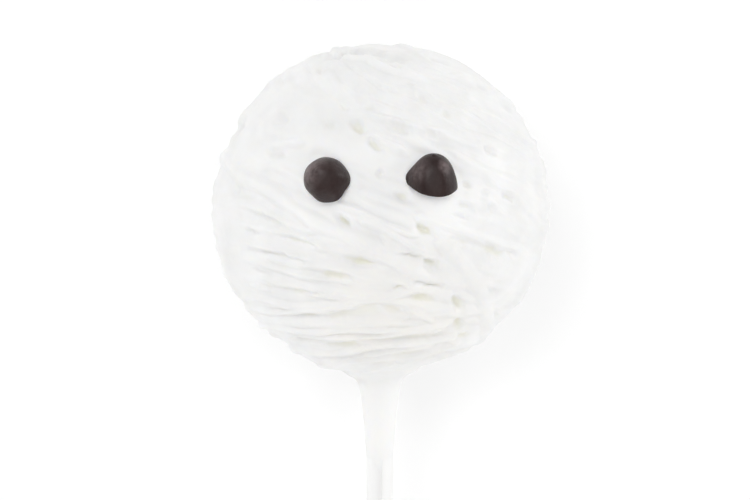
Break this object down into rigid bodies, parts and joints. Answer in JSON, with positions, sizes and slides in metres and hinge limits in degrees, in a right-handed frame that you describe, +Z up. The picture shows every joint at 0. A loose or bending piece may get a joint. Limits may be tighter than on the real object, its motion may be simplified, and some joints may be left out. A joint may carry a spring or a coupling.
{
  "type": "cake pop",
  "caption": "White coated round cake pop wrapped in drizzled strands, with dark chocolate chips as eyes, on a rolled paper stick, lying on its back.",
  "frame": {"origin": "middle of the flat spot on the back of the ball, which the pop rests on", "axes": "+Z up, away from the surface, out of the face with the chips; +Y from the stick to the crown; +X to the right of the face as it is looked at"},
  "size_m": [0.0428, 0.1333, 0.0426],
  "materials": {
    "white_coating": "satin white candy coating, slightly waxy",
    "dark_chocolate": "satin dark chocolate",
    "white_paper": "matte rolled white paper"
  },
  "bodies": {
    "root": {"coated_ball": "white_coating", "chip_left": "dark_chocolate", "chip_right": "dark_chocolate", "stick": "white_paper"}
  },
  "joints": []
}
